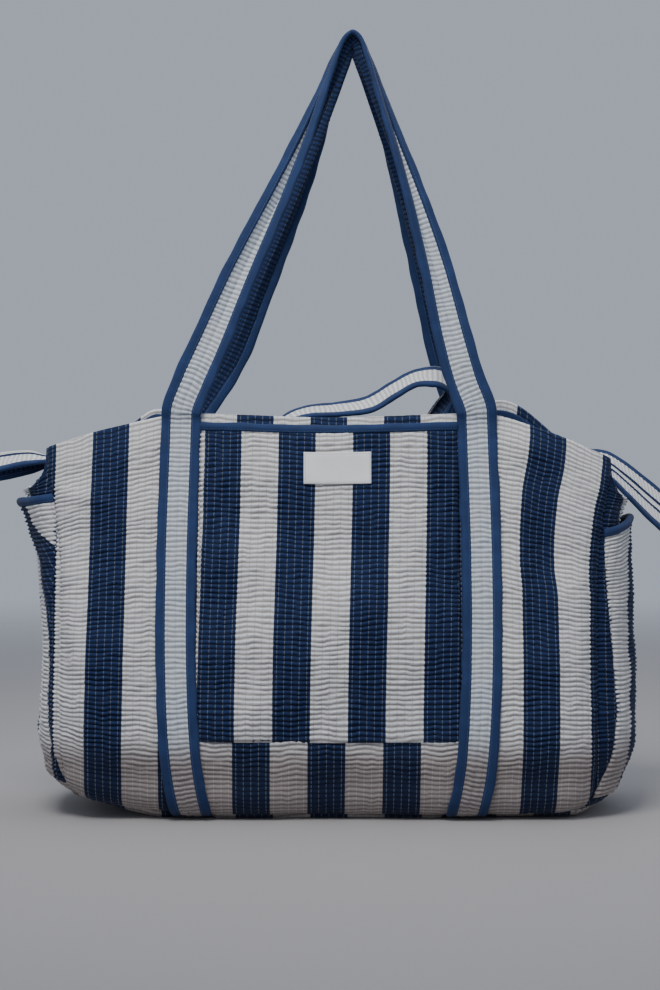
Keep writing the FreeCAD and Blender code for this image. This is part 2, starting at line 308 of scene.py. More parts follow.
def seam_x(v):
    """Cloth half width of the front or back, to the middle of the corner."""
    _, a, _, r = at_run(v)
    return a - r + r * math.pi / 4


def end_half(v):
    """Cloth half width of an end panel at distance v up the wall."""
    _, _, b, r = at_run(v)
    return b - r + r * math.pi / 4


def end_point(w, v, s, lift=0.0):
    """Point on an end panel, w across from its middle (positive to the back)."""
    z, a, b, r = at_run(v)
    w = np.asarray(w, float) + 0 * z
    flat = b - r
    over = np.clip(np.abs(w) - flat, 0, None)
    turn = over / r
    py = np.where(over > 0, np.sign(w) * (flat + r * np.sin(turn)), w)
    px = a - np.where(over > 0, r * (1 - np.cos(turn)), 0)
    t = np.clip(np.abs(w) / end_half(v), 0, 1)
    swell = end_swell(z, s) * (1 - t ** 2) ** 0.9
    gusset = -38.0 * ease(322 if s < 0 else 312, 352, z) * np.clip(1 - t, 0, 1) ** 0.8
    waves = (1.6 * drift(w, z, 120, 31 + s) + 0.8 * drift(w, z, 40, 41 + s)) * (1 - t ** 4)
    proud = lift - 1.4 * hump(np.abs(w) - end_half(v), 0, 3.0)
    out = swell + gusset + waves + proud
    fall = droop(s * px, z) - 24 * (1 - t ** 5) * ease(303, 352, z)
    px = px + out * np.cos(turn)
    py = py + np.sign(w) * proud * np.sin(turn)
    return np.stack([s * px, py, z + fall], -1)


def cloth_grid(point, half, v0, v1, step_u=STEP_U, step_v=STEP_V):
    """Points and cloth coordinates between two heights up a wall, in multiples of four."""
    rows = 4 * max(int(round((v1 - v0) / step_v / 4)), 1) + 1
    widest = float(np.max(half(np.linspace(v0, v1, 20))))
    cols = 8 * max(int(math.ceil(widest / step_u / 4)), 1) + 1
    v = np.linspace(v0, v1, rows)[:, None]
    u = np.linspace(-1, 1, cols)[None, :] * half(v)
    v = v + 0 * u
    return point(u, v), np.stack([u, v], -1)


def face_cloth(uv, end):
    """Cloth coordinates of the front, or of an end panel carried on from its stripes."""
    across, v = uv[..., 0], uv[..., 1]
    z = at_run(v)[0]
    if not end:
        return np.stack([across + pull(across, z), v], -1)
    edge = end * seam_x(v)
    return np.stack([edge + pull(edge, z) + end * (end_half(v) + across), v], -1)


# ---- materials

SURFACE = {"sheen": "Sheen Weight", "sheen_rough": "Sheen Roughness",
           "specular": "Specular IOR Level", "metal": "Metallic"}


class Nodes:
    """Short way to write a material's node tree."""

    def __init__(self, name):
        self.mat = bpy.data.materials.new(name)
        self.mat.use_nodes = True
        self.tree = self.mat.node_tree
        self.bsdf = self.tree.nodes["Principled BSDF"]

    def add(self, kind, **props):
        node = self.tree.nodes.new("ShaderNode" + kind)
        for key, value in props.items():
            setattr(node, key, value)
        return node

    def put(self, socket, value):
        if isinstance(value, bpy.types.NodeSocket):
            self.tree.links.new(value, socket)
        elif value is not None:
            socket.default_value = value

    def math(self, op, a, b=None):
        node = self.add("Math", operation=op)
        self.put(node.inputs[0], a)
        self.put(node.inputs[1], b)
        return node.outputs[0]

    def plus(self, a, b):
        return self.math("ADD", a, b)

    def minus(self, a, b):
        return self.math("SUBTRACT", a, b)

    def times(self, a, b):
        return self.math("MULTIPLY", a, b)

    def ramp(self, x, lo, hi, out_lo=0.0, out_hi=1.0):
        node = self.add("MapRange", interpolation_type="SMOOTHSTEP")
        for socket, value in zip(node.inputs, (x, lo, hi, out_lo, out_hi)):
            self.put(socket, value)
        return node.outputs[0]

    def mix(self, factor, a, b):
        node = self.add("Mix", data_type="RGBA")
        for socket, value in ((0, factor), (6, a), (7, b)):
            self.put(node.inputs[socket], value)
        return node.outputs[2]

    def cloth(self):
        uv = self.add("UVMap", uv_map="cloth")
        parts = self.add("SeparateXYZ")
        self.put(parts.inputs[0], uv.outputs[0])
        return uv.outputs[0], parts.outputs[0], parts.outputs[1]

    def noise(self, vector, scale, detail):
        node = self.add("TexNoise")
        self.put(node.inputs["Vector"], vector)
        node.inputs["Scale"].default_value = scale
        node.inputs["Detail"].default_value = detail
        return node.outputs[0]

    def bump(self, height, strength, distance, normal=None):
        node = self.add("Bump")
        node.inputs["Strength"].default_value = strength
        node.inputs["Distance"].default_value = distance
        self.put(node.inputs["Height"], height)
        self.put(node.inputs["Normal"], normal)
        return node.outputs[0]

    def surface(self, colour, rough, normal, **fixed):
        """The finished material: colour, roughness and normal linked, the rest constant."""
        for key, value in (("Base Color", colour), ("Roughness", rough), ("Normal", normal)):
            self.put(self.bsdf.inputs[key], value)
        for key, value in fixed.items():
            self.bsdf.inputs[SURFACE[key]].default_value = value
        return self.mat


# The second white and the second navy are painted shade, for the rib hollows and for the bag's lower
# part.
WHITE, WHITE_PAINTED_SHADE = (0.86, 0.87, 0.89, 1), (0.39, 0.36, 0.345, 1)
NAVY, NAVY_PAINTED_SHADE, NAVY_HI = (0.011, 0.028, 0.095, 1), (0.004, 0.009, 0.030, 1), (0.018, 0.050, 0.165, 1)
THREAD = (0.25, 0.27, 0.30, 1)


def weave(n, uv, pitch=0.55):
    """Fine plain weave, as height, in cloth coordinates of mm."""
    wave = []
    for direction in ("X", "Y"):
        node = n.add("TexWave", bands_direction=direction)
        n.put(node.inputs["Vector"], uv)
        node.inputs["Scale"].default_value = 0.314 / pitch
        node.inputs["Distortion"].default_value = 0.6
        wave.append(node.outputs[1])
    return n.times(*wave)


def quilted(name, striped=False, navy=False, cool=False, flat=False):
    """Quilted cotton: striped, or all navy, or white in a warm, cool or flat shade, with painted
    shade in the rib hollows, along the white's stitch lines and low on the bag.
    """
    n = Nodes(name)
    uv, u, v = n.cloth()
    grain = n.noise(uv, 0.9, 4.0)
    cloud = n.noise(uv, 0.03, 3.0)
    wob = n.times(n.minus(n.noise(uv, 0.25, 2.0), 0.5), 1.6)
    rib = n.math("PINGPONG", n.plus(v, n.times(wob, 0.25)), RIB / 2)
    crest = n.ramp(rib, 0.15, 1.75)
    line = n.math("PINGPONG", n.plus(u, n.times(wob, 0.2)), STITCH / 2)
    thread = n.times(n.ramp(line, 0.42, 0.20),
                     n.ramp(n.math("PINGPONG", v, RIB / 2), 0.45, 0.8))
    # Weight for the painted shade low on the bag.
    low = n.add("Attribute", attribute_name="low").outputs["Fac"]
    # Painted shade: the white is darker in the rib hollows than on the crests.
    painted_hollow_shade = (0.50, 0.50, 0.51, 1) if flat else (0.30, 0.32, 0.36, 1) if cool else WHITE_PAINTED_SHADE
    white = n.mix(crest, painted_hollow_shade, (0.70, 0.77, 0.86, 1) if cool else WHITE)
    white = n.mix(n.ramp(cloud, 0.35, 0.7, 0.0, 0.22), white, (0.66, 0.65, 0.64, 1))
    white = n.mix(n.ramp(grain, 0.35, 0.75, 0.0, 0.30), white, (0.45, 0.44, 0.44, 1))
    # Painted shade, brownish: the white darkens low on the bag.
    white = n.mix(n.times(low, 0.9), white,
                  n.mix(crest, (0.19, 0.155, 0.145, 1), (0.34, 0.29, 0.275, 1)))
    # Painted shade: the navy is darker in the rib hollows than on the crests.
    blue = n.mix(crest, NAVY_PAINTED_SHADE, NAVY)
    blue = n.mix(n.ramp(grain, 0.5, 0.8, 0.0, 0.45), blue, NAVY_HI)
    # Painted shade: the navy darkens low on the bag.
    blue = n.mix(n.times(low, 0.6), blue, NAVY_PAINTED_SHADE)
    if striped:
        at = n.plus(u, n.times(wob, 0.35))
        mask = n.ramp(n.math("PINGPONG", at, STRIPE / 2), STRIPE / 4 + 0.25, STRIPE / 4 - 0.25)
        colour = n.mix(mask, white, blue)
        # Stitch lines on the white stripes: painted shade, grey, in their dimples higher up; low
        # down, lighter than the painted shade round them.
        pale = n.mix(low, (0.40, 0.40, 0.41, 1), (0.58, 0.54, 0.52, 1))
        stitch_thread_and_shade = n.mix(mask, pale, THREAD)
    else:
        colour = blue if navy else white
        # Stitch lines: the thread's own colour on navy, painted shade on white.
        stitch_thread_and_shade = THREAD if navy else (0.45, 0.46, 0.48, 1)
    colour = n.mix(n.times(thread, 0.2 if navy else 0.55), colour, stitch_thread_and_shade)
    soft = n.bump(grain, 0.35, 0.0006, n.bump(weave(n, uv), 0.35, 0.0003))
    return n.surface(colour, n.ramp(grain, 0.2, 0.8, 0.80, 0.95),
                     n.bump(thread, 0.5, 0.0004, soft), sheen=0.06, sheen_rough=0.5, specular=0.25)


def taped(name):
    """Navy folded binding with a row of stitches along its inner edge (u is 0 there)."""
    n = Nodes(name)
    uv, u, v = n.cloth()
    grain = n.noise(uv, 1.3, 4.0)
    cloud = n.noise(uv, 0.05, 2.0)
    base = n.mix(n.ramp(grain, 0.3, 0.8, 0.0, 0.6), NAVY, (0.017, 0.046, 0.145, 1))
    base = n.mix(n.ramp(cloud, 0.4, 0.75, 0.0, 0.45), base, NAVY_HI)
    row = n.ramp(n.math("ABSOLUTE", n.minus(u, 1.3)), 0.42, 0.2)
    stitch = n.times(row, n.ramp(n.math("PINGPONG", v, 1.4), 0.35, 0.55))
    seam = n.bump(n.minus(1.0, row), 0.6, 0.0005, n.bump(weave(n, uv, 0.4), 0.4, 0.0002))
    return n.surface(n.mix(n.times(stitch, 0.55), base, (0.08, 0.12, 0.24, 1)),
                     n.ramp(grain, 0.2, 0.8, 0.66, 0.84), n.bump(stitch, 0.6, 0.0004, seam),
                     sheen=0.08, sheen_rough=0.45, specular=0.3)


def plain_cloth(name, colour, dark, rough=0.9):
    """Plain woven cotton."""
    n = Nodes(name)
    uv = n.cloth()[0]
    grain = n.noise(uv, 0.8, 4.0)
    return n.surface(n.mix(n.ramp(grain, 0.3, 0.75), dark, colour),
                     n.ramp(grain, 0.2, 0.8, rough - 0.1, rough),
                     n.bump(weave(n, uv, 0.7), 0.5, 0.0003), sheen=0.1)


def woven_label():
    """Smooth white label cloth with a line of stitches inside its edge, and painted shade along the
    edge itself.
    """
    n = Nodes("label_cloth")
    uv, u, v = n.cloth()
    grain = n.noise(uv, 1.2, 3.0)
    cloud = n.noise(uv, 0.08, 2.0)
    base = n.mix(n.ramp(grain, 0.3, 0.7), (0.88, 0.88, 0.88, 1), (0.95, 0.95, 0.95, 1))
    base = n.mix(n.ramp(cloud, 0.4, 0.8, 0.0, 0.3), base, (0.86, 0.85, 0.85, 1))
    inset = n.math("MINIMUM", n.minus(29.5, n.math("ABSOLUTE", u)),
                   n.minus(14.25, n.math("ABSOLUTE", v)))
    row = n.ramp(n.math("ABSOLUTE", n.minus(inset, 1.6)), 0.42, 0.2)
    dash = n.ramp(n.math("PINGPONG", n.plus(u, v), 1.3), 0.3, 0.5)
    base = n.mix(n.times(n.times(row, dash), 0.6), base, (0.42, 0.42, 0.44, 1))
    # Painted shade: the label darkens within about a millimetre of its edge.
    return n.surface(n.mix(n.ramp(inset, 0.9, 0.1, 0.0, 0.35), base, (0.50, 0.49, 0.49, 1)),
                     n.ramp(grain, 0.2, 0.8, 0.42, 0.6),
                     n.bump(weave(n, uv, 0.35), 0.5, 0.00015), sheen=0.3)


def moulded(name, colour, worn, rough, metal=0.0):
    """Plastic or metal with a fine grain."""
    n = Nodes(name)
    grain = n.noise(n.add("TexCoord").outputs["Object"], 900.0, 3.0)
    return n.surface(n.mix(n.ramp(grain, 0.45, 0.75), colour, worn),
                     n.ramp(grain, 0.3, 0.7, rough, rough + 0.15),
                     n.bump(grain, 0.15, 0.0001), metal=metal)


# Each finish: its material and a slot name.
FINISH = {
    "body": (quilted("striped_quilt", striped=True), "striped_quilt"),
    "white": (quilted("white_quilt", flat=True), "white_quilt"),
    "strap": (quilted("white_strap", cool=True), "white_quilt"),
    "navy": (quilted("navy_quilt", navy=True), "navy_quilt"),
    "label": (woven_label(), "label_cloth"),
    "teeth": (moulded("zip_teeth", (0.78, 0.78, 0.77, 1), (0.70, 0.70, 0.68, 1), 0.35), "zip_white"),
    "metal": (moulded("zip_metal", (0.62, 0.46, 0.22, 1), (0.70, 0.56, 0.32, 1), 0.28, 1.0),
              "zip_metal"),
    "tape": (taped("navy_tape"), "navy_tape"),
    "lining": (plain_cloth("lining_cotton", (0.72, 0.71, 0.68, 1), (0.60, 0.585, 0.55, 1)),
               "lining_cotton"),
    "zip_tape": (plain_cloth("zip_tape", (0.80, 0.80, 0.79, 1), (0.68, 0.68, 0.67, 1), 0.8),
                 "zip_white"),
}


# ---- panels

LOW = 6.0                     # height along the wall where it meets the bottom


def side_of(point, s):
    """One wall's surface, as a function of cloth position and lift."""
    return lambda u, v, lift=0.0: point(u, v, s, lift)


# Each wall: name, surface, cloth half width, whether its grid is turned over, which end.
WALLS = (("front", side_of(face_point, -1), seam_x, False, 0),
         ("back", side_of(face_point, 1), seam_x, True, 0),
         ("left_end", side_of(end_point, -1), end_half, True, -1),
         ("right_end", side_of(end_point, 1), end_half, False, 1))


def finished(obj, *nodes):
    """A piece that stands in for CAD nodes and moves with the bag."""
    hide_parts(*nodes)
    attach(obj, "bag")
    return obj


def cut(obj, half, v0, v1):
    """Works out the piece's width as it was cut flat, from v0 to v1, and gives the piece back
    unchanged.
    """
    across = 2 * half(np.linspace(v0, v1, 80))
    return obj


def facing(point, half, flip, v0, v1, lift=0.0, **steps):
    """Grid over a wall whose normals point out of the bag."""
    grid, uv = cloth_grid(lambda u, v: point(u, v, lift), half, v0, v1, **steps)
    return (grid[:, ::-1], uv[:, ::-1]) if flip else (grid, uv)


def walls():
    """Front, back and end panels with the mouth's fold, and the lining inside."""
    for i, (name, point, half, flip, end) in enumerate(WALLS):
        base, uv = facing(point, half, flip, LOW, WALL)
        cloth = wandering(uv if name == "back" else face_cloth(uv, end), 3 + 7 * i)
        u, v = cloth[..., 0], cloth[..., 1]
        n = normals(base)
        fade = 1 - 0.75 * ease(WALL - 26, WALL - 6, v) - 0.7 * ease(80, 30, v)
        outer = base + n * quilt(u, v, fade=fade, seed=3 + 7 * i)[..., None]
        outer, inner, cloth = fold_over(outer, base - n * 2.2, n[-1], cloth)
        panel = shell(name + "_panel_cloth", outer, inner, cloth, "body")
        cut(finished(panel, name + "_panel"), half, LOW, WALL + 15)
        grid, uv = facing(point, half, flip, LOW, WALL - 9, -5.4, step_u=7.0, step_v=7.0)
        lining = shell(name + "_lining_cloth", grid, grid - normals(grid) * 0.9, uv, "lining", 1)
        cut(finished(lining, name + "_lining"), half, LOW, WALL - 9)


def fold_over(outer, inner, n, cloth):
    """Rolls the top edge inwards and turns it down inside the mouth."""
    up = unit(outer[-1] - outer[-3])
    top, last, radius = outer[-1], cloth[-1], 2.3
    rows, deep, marks = [], [], []
    for angle in np.linspace(0, math.pi, 9)[1:]:
        rows.append(top - n * radius * (1 - math.cos(angle)) + up * radius * math.sin(angle))
        deep.append(top - n * radius)
        marks.append(last + [0, radius * angle])
    for drop in (2.0, 4.0, 6.0, 8.0):
        rows.append(top - n * 2 * radius - up * drop)
        deep.append(top - n * (radius + 0.2) - up * drop)
        marks.append(last + [0, radius * math.pi + drop])
    return (np.concatenate([outer, rows]), np.concatenate([inner, deep]),
            np.concatenate([cloth, marks]))


def base_panel():
    """Bottom of the bag, joined to the walls' lower edges."""
    rows, cols = 137, 225
    v = np.full(1, LOW)
    q, p = np.linspace(-1, 1, cols), np.linspace(-1, 1, rows)
    front, back = (face_point(q * seam_x(v), v + 0 * q, s) for s in (-1, 1))
    left, right = (end_point(p * end_half(v), v + 0 * p, s) for s in (-1, 1))
    f, g = (1 + p[:, None, None]) / 2, (1 + q[None, :, None]) / 2
    grid = (front * (1 - f) + back * f + left[:, None] * (1 - g) + right[:, None] * g
            - (1 - f) * ((1 - g) * front[0] + g * front[-1])
            - f * ((1 - g) * back[0] + g * back[-1]))
    x, y, z = grid[..., 0], grid[..., 1], grid[..., 2]
    rim = np.minimum((1 - np.abs(p))[:, None] * 92, (1 - np.abs(q))[None, :] * 232) / 15
    flat = ease(0, 1, rim)
    strap = ease(21, 17.5, np.abs(np.abs(x) - 119.0))
    lift = curve(x, [-250, -205, -160, 200, 250], [30, 13, 1, 0, 4])
    soft = lift + 1.4 + 0.8 * drift(x, y, 90, 5) - (1 - strap) * 0.6 * quilt(x, y, 0.5, 0.2, seed=9)
    grid[..., 2] = np.maximum(z * (1 - flat) + (soft + 4.9 * strap) * flat, 0.2)
    grid, uv = grid[:, ::-1], np.stack([x, y + 400], -1)[:, ::-1]
    wide, deep = 2 * float(seam_x(v)[0]) - 1, 2 * float(end_half(v)[0]) - 1
    across = lambda t: wide / 2 + 0 * t
    panel = shell("bottom_panel_cloth", grid, grid - normals(grid) * 2.4, uv, "body")
    cut(finished(panel, "bottom_panel"), across, 0, deep)
    inner = grid[::4, ::4] * [0.965, 0.94, 1] + [0, 0, 5.6]
    lining = shell("bottom_lining_cloth", inner, inner + [0, 0, 0.9], uv[::4, ::4], "lining", 1)
    cut(finished(lining, "bottom_lining"), across, 0, deep)


def edge_frames(points, up, out, step):
    """Even frames along an edge of a panel: centre, up the cloth, out of it."""
    rows, run = resample(np.concatenate([points, up, out], -1), step)
    side = unit(rows[:, 3:6])
    return (rows[:, :3], side, square(unit(rows[:, 6:9]), side)), run


def patch(name, point, flip, half, v0, v1, lift, cloth, seed):
    """Pocket: a quilted piece stood off a wall, with a folded tape along its mouth."""
    thick = 2.4
    rise = lambda u, v: lift(u / half(v), v)
    grid, uv = cloth_grid(lambda u, v: point(u, v, rise(u, v)), half, v0, v1)
    if flip:
        grid, uv = grid[:, ::-1], uv[:, ::-1]
    n = normals(grid)
    marks = wandering(cloth(uv), seed)
    turn = 1 - ease(9, 4, v1 - uv[..., 1]) - 0.7 * ease(6, 0, uv[..., 1] - v0)
    edge = np.minimum(uv[..., 1] - v0, half(uv[..., 1]) - np.abs(uv[..., 0]))
    outer = grid + n * (quilt(marks[..., 0], marks[..., 1], fade=turn, seed=seed)
                        - 0.9 * ease(3.0, 0, edge))[..., None]
    piece = shell(name + "_cloth", outer, grid - n * thick, marks, "body")
    cut(finished(piece, name), half, v0, v1)
    middle = grid[-1] - n[-1] * thick / 2
    up = grid[-1] - grid[-3]
    frames, run = edge_frames(middle - unit(up) * 1.0, up, n[-1], 2.2)
    bound = sweep(name + "_binding", frames, run, tape(run, -5.4, 2.6, 3.3, 81 + seed), "tape")
    finished(bound, name + "_tape")


# ---- strips, straps and tapes

def resample(points, step):
    """Smooth even path through points (columns past the third are carried along)."""
    pts = np.asarray(points, float)
    chord = lengths(pts)
    fine = np.linspace(0, chord[-1], 4000)
    dense = np.stack([curve(fine, chord, pts[:, i]) for i in range(pts.shape[1])], -1)
    run = lengths(dense)
    count = max(int(round(run[-1] / step)), 2) + 1
    even = np.linspace(0, run[-1], count)
    return np.stack([np.interp(even, run, dense[:, i]) for i in range(dense.shape[1])], -1), even


def sweep(name, frames, run, section, finish):
    """Closed strip: section holds (sideways, outward) points and the cloth's u and v."""
    centre, side, normal = frames
    points, u, v = section
    verts = centre[:, None] + side[:, None] * points[..., :1] + normal[:, None] * points[..., 1:]
    return outward(add_mesh(name, verts.reshape(-1, 3), tube(len(run), points.shape[1]),
                            np.stack([u, v], -1).reshape(-1, 2), finish))


def column(value, run):
    return np.broadcast_to(np.asarray(value, float), run.shape)[:, None]


def band(run, u0, u1, low, high, rib=0.0, columns=13, press=0.3, seed=1):
    """Section of a flat band from u0 to u1, ribbed across on the face at high."""
    r, u0, u1 = run[:, None], column(u0, run), column(u1, run)
    top = u0 + (u1 - u0) * np.linspace(0, 1, columns)
    wander = 1.0 * drift(top, r, 60, seed) + 0.5 * drift(top, r, 17, seed + 1)
    puff = np.sin(np.pi * (r + wander) / RIB) ** 2 * (rib != 0)
    line = np.abs((top / STITCH + 0.5) % 1 - 0.5) * STITCH
    edge = np.minimum(np.abs(top - u0), np.abs(u1 - top))
    upper = high + rib * (puff * (1 + 0.25 * drift(top, r * 3, 14, seed + 4))
                          - press * np.exp(-(line / 1.0) ** 2)) * ease(0.2, 2.6, edge)
    under = top[:, ::-1]
    points = np.concatenate([np.stack([top, upper], -1),
                             np.stack([under, np.full_like(under, low)], -1)], 1)
    return points, np.concatenate([top, under], 1), r + np.concatenate([wander, wander[:, ::-1]], 1)


def tape(run, inner, outer, half, seed=1):
    """Section of a tape folded round an edge: soft, with a stitched margin along its inside."""
    r, inner, outer = run[:, None], column(inner, run), column(outer, run)
    sign, width = np.sign(outer - inner), np.abs(outer - inner)
    bend = np.linspace(-math.pi / 2, math.pi / 2, 9)
    flat = np.array([(0.0, 0.72), (1.3, 0.80), (2.4, 1.04)])
    across = np.concatenate([np.broadcast_to(flat[:, 0], (len(run), 3)),
                             width - half + half * np.cos(bend),
                             np.broadcast_to(flat[::-1, 0], (len(run), 3))], 1)
    high = half * np.concatenate([flat[:, 1], -np.sin(bend), -flat[::-1, 1]])[None, :]
    across = across * (1 + 0.05 * drift(0 * r, r, 33, seed + 2))
    high = high * (1 + 0.09 * drift(high * 3, r, 26, seed) + 0.05 * drift(high, r, 9, seed + 1))
    return np.stack([inner + sign * across, high], -1), across, r + 0 * across


def strap_route(s_face, shift):
    """Centre line of one strap pair and its handle: from the base, up, over and down."""
    sewn, z_top = [], HINGE_Z - 4
    v_top = run_at(z_top)
    wander = lambda side, z: side * curve(z, [0, 40, 120, 220, 352],
                                          [119, 126, 131.5, 133, 130.5])
    for side in (-1, 1):
        leg = [(side * 119, 0.0, 3.2), (side * 119, s_face * 45, 3.2), (side * 119, s_face * 72, 3.2)]
        for v in list(np.linspace(10, 60, 6)) + list(np.linspace(85, v_top, 10)):
            z = float(at_run(v)[0])
            x = float(wander(side, z))
            p = face_point(np.array([x]), np.array([v]), s_face, 3.0)[0]
            leg.append((x, p[1], p[2]))
        sewn.append(leg)
    loop = [(-130.0, 61.8, 357.5, 0, 0), (-120.5, 59.0, 383, 0, 7), (-108.0, 54.8, 412, 2, 13),
            (-78.5, 46.0, 482, 8, 13), (-47.0, 38, 550, 18, 10), (-22.5, 31, 606, 34, 7),
            (-4.5, 24.5, 652, 58, 4), (7.5, 21.0, 683, 76, 2), (14.5, 19.5, 696.0, 86, 0),
            (21.5, 19.2, 700.5, 90, 0), (28.5, 19.5, 696.0, 86, 0), (35.0, 21.0, 681, 78, 0),
            (47.0, 24.5, 645, 66, 0), (62.0, 31, 600, 54, -1), (78.0, 38, 549, 38, -2),
            (95.5, 46, 486, 20, -2), (110.5, 54.8, 421, 5, -1), (121.0, 59.0, 383, 0, 0),
            (130.0, 61.8, 357.5, 0, 0)]
    up = [(*p, 0.0, 1.0) for p in sewn[0]]
    down = [(*p, 0.0, -1.0) for p in sewn[1][::-1]]
    over = [(x + shift * w, s_face * y, z, psi, 0.0) for x, y, z, psi, w in loop]
    return up + over + down


def strap_frames(route, s_face):
    """Even frames (centre, sideways, outward) along a strap route."""
    rows, run = resample(route, STEP_V)
    centre, psi, sewn = rows[:, :3], np.radians(rows[:, 3]), rows[:, 4]
    ahead = unit(np.gradient(centre, axis=0))
    radial = unit(np.stack([-ahead[:, 2], 0 * psi, ahead[:, 0]], -1))
    out = np.array([0.0, s_face, 0.0])
    loop = out * np.cos(psi)[:, None] + radial * np.sin(psi)[:, None]
    flat = np.cross(np.array([1.0, 0, 0]), ahead) * (-s_face * np.sign(sewn))[:, None]
    normal = square(unit(np.where(np.abs(sewn)[:, None] > 0.5, flat, loop)), ahead)
    for _ in range(3):
        normal[1:-1] = (normal[:-2] + normal[1:-1] + normal[2:]) / 3
    normal = square(normal, ahead)
    high = np.clip((centre[:, 2] - 400) / 255, 0, 1) * np.where(centre[:, 0] < 20, 1.0, 0.88)
    return (centre, np.cross(ahead, normal), normal), run, np.radians(84) * high ** 0.8


def creased(section, crease):
    """Folds a strap's section lengthwise, its core into a V between the two tapes."""
    points, u, v = section
    side, high = points[..., 0], points[..., 1]
    c, t, sign = np.cos(crease)[:, None], np.sin(crease)[:, None], np.sign(side)
    wide = np.abs(side)
    core = wide.max() < CORE + 0.7        # else one of the tapes, which reach further out
    high = np.where(core & (high > 0), high * (1 - 0.8 * t), high)
    across = np.where(core, wide * c - high * t, CORE * c + wide - CORE)
    depth = np.where(core, (wide - CORE) * t + high * c, high)
    return np.stack([sign * across, depth], -1), u, v


def strap_pair(face, s_face, shift):
    """One handle with the two sewn straps it grows out of: core, backing and both tapes."""
    frames, run, crease = strap_frames(strap_route(s_face, shift), s_face)
    k = 40 + 5 * s_face
    core = sweep(face + "_strap_core", frames, run,
                 creased(band(run, -CORE, CORE, -0.2, 0.9, 1.25, 19, 0.6, k), crease), "strap")
    back = sweep(face + "_strap_backing", frames, run,
                 creased(band(run, CORE, -CORE, -0.2, -1.3, -0.55, seed=k + 1), crease), "navy")
    outer, inner = (sweep(f"{face}_strap_{name}_tape", frames, run,
                          creased(tape(run, sign * 9.0, sign * 17.6, 2.1, k + 2 + sign), crease),
                          "tape") for name, sign in (("outer", 1), ("inner", -1)))
    for obj, part, strap in ((core, "face", "core"), (back, "backing", None),
                             (outer, "outer_tape", "outer_tape"),
                             (inner, "inner_tape", "inner_tape")):
        sewn = [f"{side}_strap_{strap}" for side in ("left", "right")] if strap else []
        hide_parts(f"{face}_handle_{part}", *sewn)
        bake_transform(obj)


# ---- pockets, label, mouth

def pockets():
    """Patch pocket on the front and a slip pocket on each end, each bound along its mouth."""
    front = WALLS[0]
    half = lambda v: 113.5 + 0 * v
    v0, v1 = (run_at(z) for z in (70.0, 345.0))
    lift = lambda q, v: 2.2 + (9.5 * ease(v0 + 4, v0 + 120, v) + 1.5 * drift(
        q * 113, v, 110, 61)) * (1 - np.abs(q) ** 3) + 4 * hump(v, v0 + 60, 50) * (1 - q ** 2)
    skew = lambda uv: np.stack([uv[..., 0] - 4.9 * ease(v0, v1, uv[..., 1]), uv[..., 1]], -1)
    patch("front_pocket", front[1], False, half, v0, v1, lift,
          lambda uv: skew(uv) + [STRIPE / 2, 0], seed=31)
    label(lambda u, v: face_point(u, v, -1, lift(u / half(v), v) + 2.6))
    for name, point, _, flip, end in WALLS[2:]:
        v0, v1 = (run_at(z) for z in (13.0, 300.0 if end < 0 else 292.0))
        half = lambda v: np.minimum(end_half(v) + 1.5, 86 - 22 * v / v1)
        dip = -4.0 if end < 0 else 17.0
        sag = lambda w, v, lift=0.0: point(w, v - dip * (w / half(v)) ** 2 * ease(
            v1 - 110, v1, v), lift)
        lift = lambda q, v: 1.5 + (4.5 * ease(20, 80, v) + 5.5 * ease(v1 - 150, v1, v)
                                   ) * (1 - np.abs(q) ** 2.5)
        patch(name + "_pocket", sag, flip, half, v0, v1, lift, lambda uv: slant(uv, end),
              seed=37 + end)


def slant(uv, s):
    """Cloth coordinates of an end pocket; the left one's stripes lean towards the front."""
    w, v = uv[..., 0], uv[..., 1]
    lean = curve(v, [30, 105, 205, 232, 262, 285], [-8, -5, 0, 10, 21, 40])
    return np.stack([s * (end_half(v) + w + (16.3 if s > 0 else -lean)), v], -1)


def label(point):
    """Blank woven label: two layers folded at the ends and sewn round its edge."""
    u = np.linspace(-22.0, 37.0, 61)[None, :]
    v_mid, tall = run_at(308.0), 28.5
    v = np.linspace(v_mid - tall / 2, v_mid + tall / 2, 33)[:, None]
    grid = point(u + 0 * v, v + 0 * u)
    inset = np.minimum(np.minimum(u + 22, 37 - u), tall / 2 - np.abs(v - v_mid))
    seam = np.exp(-((inset - 1.6) / 0.45) ** 2) * (0.6 + 0.4 * np.sin(
        np.where(np.abs(v - v_mid) < tall / 2 - 2, v, u) * 2 * math.pi / 2.6))
    puff = 0.5 * ease(0, 0.9, inset) - 0.45 * seam + 0.25 * drift(u + 0 * v, v + 0 * u, 26, 7)
    n = normals(grid)
    piece = shell("label_cloth", grid + n * puff[..., None], grid - n * 0.7,
                  np.stack([u - 7.5 + 0 * v, v - v_mid + 0 * u], -1), "label")
    cut(finished(piece, "label"), lambda v: 29.5 + 0 * v, 0, tall)


def mouth_tapes():
    """Navy tape sewn inside the mouth, front and back."""
    for name, point, half, flip, _ in WALLS[:2]:
        grid, _ = facing(point, half, flip, WALL - 24, WALL, step_u=3.0, step_v=3.0)
        n = normals(grid)
        keep = slice(6, -6)
        up = unit(grid[-1] - grid[-4])[keep]
        drop = 9.0 + (4.0 * ease(40, 130, grid[-1][keep, :1]) if flip else 0)
        middle = grid[-1][keep] - n[-1][keep] * 6.1 - up * drop
        frames, run = edge_frames(middle, up, -n[-1][keep], 2.4)
        finished(sweep(name + "_mouth_binding", frames, run,
                       tape(run, -1.5, 6.5, 1.5, 91 + flip), "tape"),
                 name + "_mouth_tape")


# ---- closure, tails and zip

def zip_height(x):
    """Height of the shut zip, from the open middle down to each end."""
    edge = 44.0 if x < 0 else 112.0
    return ZIP_TOP - ZIP_FALL * max((abs(x) - edge) / (ZIP_END - edge), 0.0)


